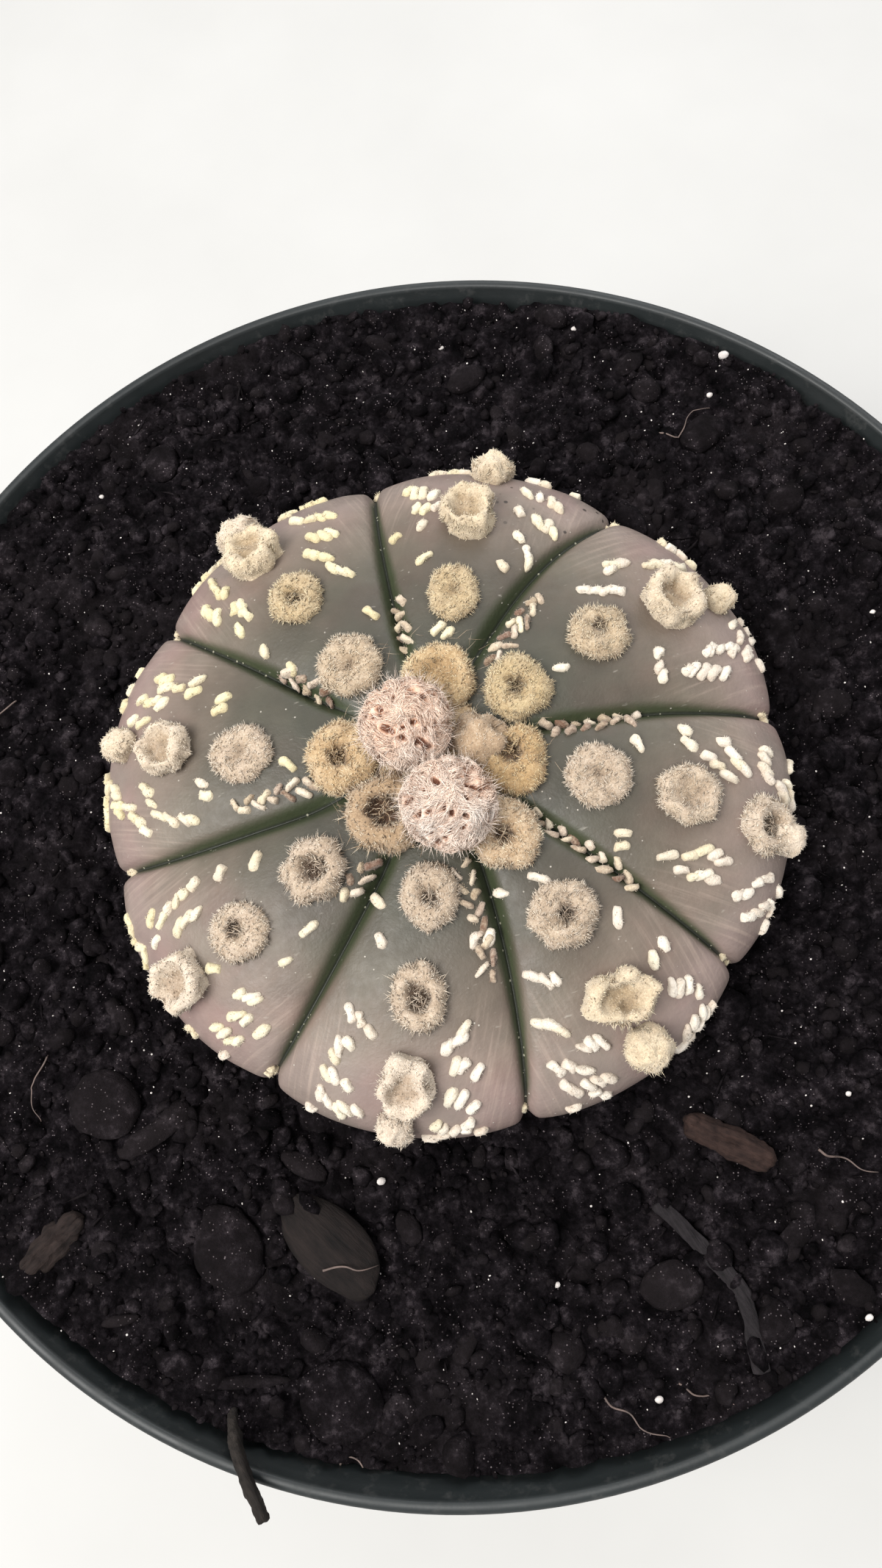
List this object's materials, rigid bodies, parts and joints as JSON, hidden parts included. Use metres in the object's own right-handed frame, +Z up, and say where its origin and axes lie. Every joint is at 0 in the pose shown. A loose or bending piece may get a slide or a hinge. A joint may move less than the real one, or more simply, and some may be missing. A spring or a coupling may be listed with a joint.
{
  "type": "potted super kabuto star cactus",
  "caption": "Flat-domed spineless star cactus with woolly areoles, pale flecks and buds at its crown, growing in dark soil in a round black plastic nursery pot.",
  "frame": {"origin": "centre of the pot's flat base, on the surface that it stands on", "axes": "+Z up through the plant; +Y away from the viewer of the picture, who looks steeply down from the -Y side; +X to that viewer's right"},
  "size_m": [0.15, 0.15, 0.1234],
  "materials": {
    "pot_plastic": "black nursery plastic with a slight sheen",
    "soil": "dark crumbly potting soil",
    "cactus_skin": "grey-green skin turning mauve-brown at the rim",
    "wool": "cream and ochre plant wool",
    "bud_wool": "pinkish-white wool with brown bristle tips",
    "red_bark": "reddish-brown bark",
    "brown_bark": "brown bark",
    "twig": "dark rotten twig",
    "grey_bark": "weathered grey-brown bark fibre"
  },
  "bodies": {
    "root": {"pot": "pot_plastic", "soil": "soil", "cactus_body": "cactus_skin", "crown_wool": "wool", "flower_bud_1": "bud_wool", "flower_bud_2": "bud_wool", "bark_chip_1": "red_bark", "bark_chip_2": "brown_bark", "bark_chip_3": "brown_bark", "dark_twig": "twig", "bark_sliver": "grey_bark"}
  },
  "joints": []
}
